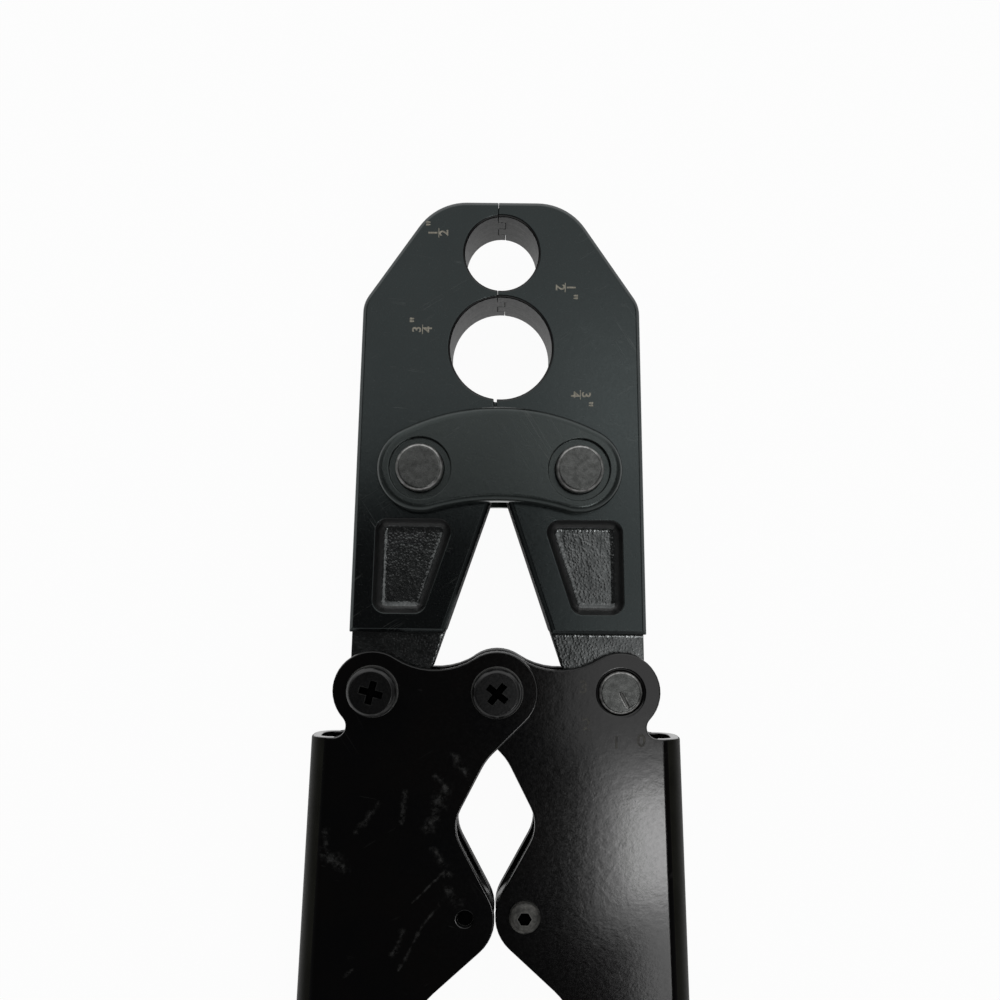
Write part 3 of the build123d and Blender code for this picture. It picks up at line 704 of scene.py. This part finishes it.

# %% Round the rims of the screws and paint shade into their recesses
jaw_pivot_u, stop_u, stop_v, rim = 25.4, 6.1, -46.2, 0.05
cross_head, key_head = (2.7, 10.15, 0.16), (1.55, 6.65, 0.08)  # reach of the recess, top of the head, rounding
for node, u, v, (reach, top, width) in (
        ("centre_pivot_screw", 0, 0, cross_head), ("left_jaw_pivot_screw", -jaw_pivot_u, 0, cross_head),
        ("left_stop_screw", -stop_u, stop_v, key_head), ("right_stop_screw", stop_u, stop_v, key_head)):
    piece = copy_solid(node)
    bpy.context.tool_settings.mesh_select_mode = (False, True, False)
    set_mode("EDIT")
    bpy.ops.mesh.select_all(action="DESELECT")
    bpy.ops.mesh.edges_select_sharp(sharpness=radians(30))
    set_mode("OBJECT")
    choose_edges(piece, lambda line, middle: line.select and off_axis(middle, u, v) > reach)
    bevel_chosen(piece, width * mm, 2)
    # Painted shade: faces near the axis and below the top of the head take the near-black finish
    piece.data.materials.append(recess_shade_black)
    for face in piece.data.polygons:
        middle = face.center - pivot
        if off_axis(middle, u, v) < reach and abs(middle.z) / mm < top - rim:
            face.material_index = 1
    shade_flats(piece)
    print(piece.name, sum(face.material_index for face in piece.data.polygons), "black faces")


# %% [markdown]
# ## Handles
# The handles are folded from sheet, and the paint runs round their wide folds in one soft line. The solids have
# tighter folds than the photograph shows, so each corner of a fold is moved out from the fold's centre until the
# radius is right. The sheared edges of the sheet stay rough under the paint, so they hardly shine, and hands and
# benches have rubbed the outer walls dull.

# %% Find the folds of a handle and widen them
splay = radians(2.7)
shoulder_v, wall_u = -9.5, 38.3
solid_fold, real_fold, sheet, edge_round = 3.1, 4.5, 2.0, 0.32
right_leaf_planes = (4.85, -6.95)


def off_wall(place, side):
    """How far a place lies inside the outer wall of the left (-1) or right (1) handle, in millimetres."""
    return (wall_u + (shoulder_v - place.y / mm) * tan(splay) - side * place.x / mm) * cos(splay)


def widen_folds(piece, side):
    """Give both folds of a handle their real radius. The left handle is the right one turned over."""
    wider, slack = real_fold - solid_fold, 0.02
    for corner in piece.data.vertices:
        place = corner.co - pivot
        for plane in right_leaf_planes:
            here = Vector((off_wall(place, side), abs(plane - side * place.z / mm)))
            if max(here) < solid_fold + slack:
                out = here - Vector((solid_fold, solid_fold))
                there = Vector((real_fold, real_fold)) + out.normalized() * (out.length + wider)
                corner.co.x += side * (here.x - there.x) / cos(splay) * mm
                corner.co.z = pivot.z + side * (plane - there.y * (1 if plane > 0 else -1)) * mm


print("folds go from", solid_fold, "to", real_fold, "mm")

# %% Widen the folds, roughen the sheared edges and dull the outer walls
upright, outward = 0.3, 0.35
for hand, side in (("left", -1), ("right", 1)):
    piece = copy_solid(hand + "_handle_channel")
    widen_folds(piece, side)
    break_edges(piece, edge_round * mm)
    piece.data.materials.append(rough_black)
    piece.data.materials.append(wall_paint)
    for face in piece.data.polygons:
        heights = [piece.data.vertices[i].co.z for i in face.vertices]
        thin = max(heights) - min(heights) < (sheet - edge_round) * mm
        inside = off_wall(face.center - pivot, side)
        if thin and abs(face.normal.z) < upright and inside > real_fold:
            face.material_index = 1
        elif side * face.normal.x > outward and inside < real_fold:
            face.material_index = 2
    shade_flats(piece)
    print(piece.name, sum(face.material_index == 1 for face in piece.data.polygons), "sheared faces")


# %% [markdown]
# ## Jaws
# The jaws are forged, then ground flat on their faces and bored. The pockets in their arms and the thin tangs
# keep the rough skin of the forging, and the sloping walls of the pockets take a darker finish than their floors,
# which is painted shade. On the copy, the floors of the pockets are first rounded into their sides. The faces of
# pocket and tang are then found by their height, cut into a fine grid with bisect, and pushed in and out by a
# cloud texture. A bump alone would leave the rims of the pockets straight.

# %% Find faces by their place
def faces_where(piece, test):
    """Select the faces whose middle and normal pass a test, and list them."""
    for face in piece.data.polygons:
        face.select = test(face.center - pivot, face.normal)
    let_go(piece.data.edges, piece.data.vertices)
    return [face for face in piece.data.polygons if face.select]


def cut_grid(piece, test, step):
    """Cut the faces that pass a test into a grid, with one bisect for each line of it."""
    chosen = faces_where(piece, test)
    corners = [piece.data.vertices[i].co.copy() for face in chosen for i in face.vertices]
    for axis, normal in enumerate((Vector((1, 0, 0)), Vector((0, 1, 0)))):
        low, high = min(c[axis] for c in corners), max(c[axis] for c in corners)
        for line in range(1, int((high - low) / step)):
            faces_where(piece, test)
            select_only(piece)
            set_mode("EDIT")
            bpy.ops.mesh.select_mode(type="FACE")
            bpy.ops.mesh.bisect(plane_co=normal * (low + line * step), plane_no=normal)
            set_mode("OBJECT")
    return len(faces_where(piece, test))


print("cutting tools ready")

# %% Places on the jaws, in millimetres from the centre pivot
jaw_half, pocket_depth, tang_half = 8.0, 2.2, 2.7
pocket_low, pocket_top, pocket_inner, pocket_outer = 15.0, 36.0, 7.0, 28.0
large_bore, small_bore = (0, 69.9, 10.3), (0, 89.1, 7.45)


def in_pocket(middle, normal):
    """The floor and the sloping sides of the pockets."""
    u, v, w = abs(middle.x) / mm, middle.y / mm, abs(middle.z) / mm
    inside = pocket_low < v < pocket_top and pocket_inner < u < pocket_outer
    return inside and jaw_half - pocket_depth - 0.1 < w < jaw_half - 0.05 and abs(normal.z) > 0.2


def on_tang(middle, normal):
    """The flat sides of the tangs."""
    return abs(abs(middle.z) - tang_half * mm) < 0.05 * mm and abs(normal.z) > 0.99


def is_forged(middle, normal):
    """All faces that keep the skin of the forging."""
    return in_pocket(middle, normal) or on_tang(middle, normal)


def from_wall(middle):
    """How far a place lies outside the wall of the nearer die, in millimetres."""
    return min(off_axis(middle, u, v) - r for u, v, r in (large_bore, small_bore))


def in_bore(middle, normal):
    """The walls of both dies."""
    return abs(from_wall(middle)) < 0.3 and abs(normal.z) < upright


def on_lip(middle, normal):
    """The narrow bevel round the mouths of both dies, which takes the near-black finish of the screws."""
    return -0.1 < from_wall(middle) < 0.65 and upright <= abs(normal.z) < flattest


def on_side(middle, normal):
    """The upright sides all round a jaw."""
    return abs(normal.z) < upright and not in_bore(middle, normal)


def on_pocket_wall(middle, normal):
    """The sloping sides of the pockets and most of the round that leads into them."""
    return in_pocket(middle, normal) and abs(normal.z) < 0.91


def on_pocket_floor(line, middle):
    """The edges round the floors of the pockets."""
    deep = abs(abs(middle.z) - (jaw_half - pocket_depth) * mm) < 0.02 * mm
    return deep and pocket_low * mm < middle.y < pocket_top * mm


print("pocket depth", pocket_depth, "mm, tang", 2 * tang_half, "mm thick")

# %% Close the seam of a jaw, and push its forged places in and out
seam_close, seam_reach, seam_low = 0.07, 1.2, 47
cloud_size, skin_depth = 0.75, 0.035
cloud = bpy.data.textures.new("Forging cloud", "CLOUDS")
cloud.noise_scale = cloud_size * mm
cloud.noise_depth = 1


def close_seam(jaw, inward):
    """Move the mating faces of a jaw a little towards the other jaw."""
    faces_where(jaw, lambda middle, normal: (
        inward * normal.x > 0.99 and abs(middle.x) < seam_reach * mm and middle.y > seam_low * mm))
    bpy.context.tool_settings.mesh_select_mode = (False, False, True)
    set_mode("EDIT")
    bpy.ops.transform.translate(value=(inward * seam_close * mm, 0, 0))
    set_mode("OBJECT")


def push_forged(jaw):
    """Push the forged faces in and out by the cloud, but not the corners that they share with ground ones."""
    places = jaw.vertex_groups.new(name="Forged")
    for face in faces_where(jaw, is_forged):
        places.add(list(face.vertices), 1, "REPLACE")
    for face in faces_where(jaw, lambda middle, normal: not is_forged(middle, normal)):
        places.remove(list(face.vertices))
    select_only(jaw)
    bpy.ops.object.modifier_add(type="DISPLACE")
    pushed = jaw.modifiers[-1]
    pushed.texture = cloud
    pushed.texture_coords = "LOCAL"
    pushed.vertex_group = places.name
    pushed.mid_level = 0.5
    pushed.strength = skin_depth * mm
    bpy.ops.object.modifier_apply(modifier=pushed.name)


print("forged skin within", skin_depth, "mm")

# %% Shape the jaws and give each kind of face its finish
fillet, fillet_steps, jaw_round = 1.4, 5, 0.18
pocket_step, tang_step = 0.4, 0.45
finish_of_faces = (
    (forged, is_forged), (bored, in_bore), (screw_black, on_lip), (rough_black, on_side),
    (shaded_forged_wall, on_pocket_wall))
for side, inward in (("left", 1), ("right", -1)):
    jaw = copy_solid(side + "_jaw")
    choose_edges(jaw, on_pocket_floor)
    bevel_chosen(jaw, fillet * mm, fillet_steps)
    close_seam(jaw, inward)
    break_edges(jaw, jaw_round * mm)
    cells = cut_grid(jaw, in_pocket, pocket_step * mm) + cut_grid(jaw, on_tang, tang_step * mm)
    for number, (material, test) in enumerate(finish_of_faces, 1):
        jaw.data.materials.append(material)
        for face in faces_where(jaw, test):
            face.material_index = number
    push_forged(jaw)
    shade_flats(jaw)
    print(jaw.name, cells, "forged cells,", triangles(jaw), "triangles")


# %% [markdown]
# ## Grips
# The photograph ends above the grips, so these follow the usual pattern: a moulded sleeve with a guard at its
# mouth, a waist, a palm swell with ribs, and a round end. A rounded rectangle is extruded section by section down
# the handle, and each section is scaled to its width. A socket in the mouth takes the folded handle.

# %% Sections of a grip, in millimetres from its mouth
channel_width, handle_drop = 24.0, 300.4
grip_length, grip_half_depth, guard_half = 150.0, 14.0, 17.8
tail_start, tail_half, tail_deep, tail_draw = 141.0, 15.2, 12.8, 6.0
stations = (0.0, 5.0, 17.0, 55.0, 95.0, tail_start)
station_halves = (guard_half, guard_half, 14.8, 16.0, 16.0, tail_half)
station_depths = (grip_half_depth, grip_half_depth, 12.5, grip_half_depth, grip_half_depth, tail_deep)
groove_first, groove_step, groove_count, groove_wide, groove_deep = 45.0, 12.0, 6, 2.6, 0.7


def between(values, along):
    """The value of a list at a distance along the grip, on straight lines between the stations."""
    index = next(i for i in range(1, len(stations)) if along <= stations[i])
    share = (along - stations[index - 1]) / (stations[index] - stations[index - 1])
    return values[index - 1] + share * (values[index] - values[index - 1])


sunk = {along: 0.0 for along in stations[1:]}
for groove in range(groove_count):
    centre = groove_first + groove * groove_step
    for reach, deep in ((1.0, 0.0), (0.35, 0.8 * groove_deep), (0.0, groove_deep)):
        sunk[centre - reach * groove_wide / 2] = sunk[centre + reach * groove_wide / 2] = deep
sections = [
    (s, between(station_halves, s) - sunk[s], between(station_depths, s) - sunk[s]) for s in sorted(sunk)]
for turn in range(15, 91, 15):
    draw = tail_draw * (1 - cos(radians(turn)))
    sections.append((
        tail_start + (grip_length - tail_start) * sin(radians(turn)), tail_half - draw, tail_deep - draw))
print(len(sections), "sections")

# %% Extrude the right grip
corner_round = 6
bpy.ops.mesh.primitive_plane_add(size=2 * mm, rotation=(radians(90), 0, 0), location=(0, 0, 0))
grip = bpy.context.object
grip.name = "right_grip_moulded"
bpy.ops.object.transform_apply(location=False, rotation=True, scale=False)
set_mode("EDIT")
bpy.ops.mesh.select_all(action="SELECT")
bpy.ops.transform.resize(value=(guard_half, 1, grip_half_depth), center_override=(0, 0, 0))
bpy.ops.mesh.bevel(offset=corner_round * mm, segments=7, affect="VERTICES")
bpy.ops.mesh.select_all(action="SELECT")
here, half, deep = 0.0, guard_half, grip_half_depth
for next_along, next_half, next_deep in sections:
    step = (here - next_along) * mm
    bpy.ops.mesh.extrude_region_move(TRANSFORM_OT_translate={"value": (0, step, 0)})
    centre = (0, -next_along * mm, 0)
    bpy.ops.transform.resize(value=(next_half / half, 1, next_deep / deep), center_override=centre)
    here, half, deep = next_along, next_half, next_deep
bpy.ops.mesh.select_all(action="SELECT")
bpy.ops.mesh.normals_make_consistent(inside=False)
set_mode("OBJECT")
print(grip.name, triangles(grip), "triangles before its socket")

# %% Sink its socket
socket_half, socket_low, socket_high, socket_depth, inset = channel_width / 2 + 0.1, -7.05, 4.95, 140, 1.2
for face in grip.data.polygons:
    face.select = face.normal.y > 0.99 and face.center.y > -0.1 * mm
let_go(grip.data.vertices, grip.data.edges)
set_mode("EDIT")
bpy.ops.mesh.select_mode(type="FACE")
bpy.ops.mesh.inset(thickness=inset * mm)
shrink = (socket_half / (guard_half - inset), 1, (socket_high - socket_low) / 2 / (grip_half_depth - inset))
bpy.ops.transform.resize(value=shrink, center_override=(0, 0, 0))
bpy.ops.transform.translate(value=(0, 0, (socket_high + socket_low) / 2 * mm))
bpy.ops.mesh.extrude_region_move(TRANSFORM_OT_translate={"value": (0, -socket_depth * mm, 0)})
set_mode("OBJECT")
print("socket", socket_depth, "mm deep")

# %% Set it on the right handle, and turn a copy over for the left
mouth_v = grip_length * cos(splay) - handle_drop
mouth_u = wall_u + (shoulder_v - mouth_v) * tan(splay) - channel_width / 2 / cos(splay)
grip.data.transform(Matrix.Translation(spot(mouth_u, mouth_v)) @ Matrix.Rotation(splay, 4, "Z"))
left_grip = place_object("left_grip_moulded", grip.data.copy())
middle = Matrix.Translation(pivot)
left_grip.data.transform(middle @ Matrix.Rotation(radians(180), 4, "Y") @ middle.inverted())
for piece, node in ((grip, "right_grip"), (left_grip, "left_grip")):
    piece.data.materials.clear()
    piece.data.materials.append(rubber)
    break_edges(piece, 0.18 * mm, sharp=40)
    shade_flats(piece, 50)
    stand_for(piece, node)
    print(piece.name, triangles(piece), "triangles")


# %% [markdown]
# ## Etched sizes and dial numbers
# Each die has its ring size beside it, burnt into the blackened face as a pale mark, and the adjuster has the
# plain numbers 0 to 3 round it. They are text that becomes a mesh, a few hundredths of a millimetre thick, on the
# face. The marks are separate pieces, so that they can be left off without touching the jaws.

# %% Two pale finishes for the marks
etched = start_finish(
    "Etched mark", ((0.22, 0.205, 0.165), (0.42, 0.39, 0.32)), (0.60, 0.75), 2600, 4200)
stamped = start_finish(
    "Stamped number", ((0.016, 0.016, 0.015), (0.070, 0.067, 0.058)), (0.50, 0.65), 1800, 4200)
print(etched.name, "and", stamped.name)


# %% Write a mark on a face
mark_half = 0.02


def add_bar(across, thick):
    """A thin flat bar in the middle of a mark, for a fraction."""
    bpy.ops.mesh.primitive_plane_add(size=mm, location=(0, 0, 0))
    bar = bpy.context.object
    set_mode("EDIT")
    bpy.ops.transform.resize(value=(across, thick, 1), center_override=(0, 0, 0))
    bpy.ops.transform.translate(value=(0, 0, -mark_half * mm))
    bpy.ops.mesh.extrude_region_move(TRANSFORM_OT_translate={"value": (0, 0, 2 * mark_half * mm)})
    bpy.ops.mesh.select_all(action="SELECT")
    bpy.ops.mesh.normals_make_consistent(inside=False)
    set_mode("OBJECT")
    return bar


def write_mark(name, rows, turn, place, material, body, bar=None):
    """Text rows of (words, size, across, up) joined into one thin mesh, turned and laid on a face."""
    made = [add_bar(*bar)] if bar else []
    for words, size, across, up in rows:
        bpy.ops.object.text_add(location=(0, 0, 0))
        row = bpy.context.object
        row.data.body = words
        row.data.size = size * mm
        row.data.align_x = "CENTER"
        row.data.align_y = "CENTER"
        row.data.extrude = mark_half * mm
        row.data.offset = 0.02 * size * mm
        bpy.ops.object.convert(target="MESH")
        row.location = (across * mm, up * mm, 0)
        bpy.ops.object.transform_apply(location=True, rotation=False, scale=False)
        made.append(row)
    for row in made:
        row.select_set(True)
    bpy.context.view_layer.objects.active = made[0]
    if len(made) > 1:
        bpy.ops.object.join()
    mark = bpy.context.object
    mark.name = name
    mark.location = place
    mark.rotation_euler = (0, 0, radians(turn))
    bpy.ops.object.transform_apply(location=True, rotation=True, scale=False)
    mark.data.materials.append(material)
    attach(mark, body)
    print(name, triangles(mark), "triangles")


# %% Mark the sizes on the jaws
def size_rows(over, under):
    """A fraction of an inch: one number over another, and the inch sign beside them."""
    return ((over, 2.5, 0, 1.1), (under, 2.5, 0, -1.1), ('"', 3.0, 1.9, 1.3))


face_w, fraction_bar = jaw_half + 0.01, (1.9, 0.17)
for name, over, under, turn, place in (
        ("left_half_inch_mark", "1", "2", 90, spot(-12.8, 93.1, face_w)),
        ("left_three_quarter_mark", "3", "4", 90, spot(-15.9, 73.5, face_w)),
        ("right_half_inch_mark", "1", "2", -90, spot(12.9, 82.3, face_w)),
        ("right_three_quarter_mark", "3", "4", -90, spot(16.2, 60.6, face_w))):
    side = name.split("_")[0]
    write_mark(name, size_rows(over, under), turn, place, etched, side + "_jaw", fraction_bar)

# %% Number the adjuster
leaf_w, number_size = 4.86, 3.6
for number, u, v in (("0", 29.7, -9.9), ("1", 24.6, -10.3), ("2", 18.4, -6.6), ("3", 17.7, 1.0)):
    write_mark(
        "dial_number_" + number, ((number, number_size, 0, 0),), 0, spot(u, v, leaf_w), stamped,
        "right_handle")
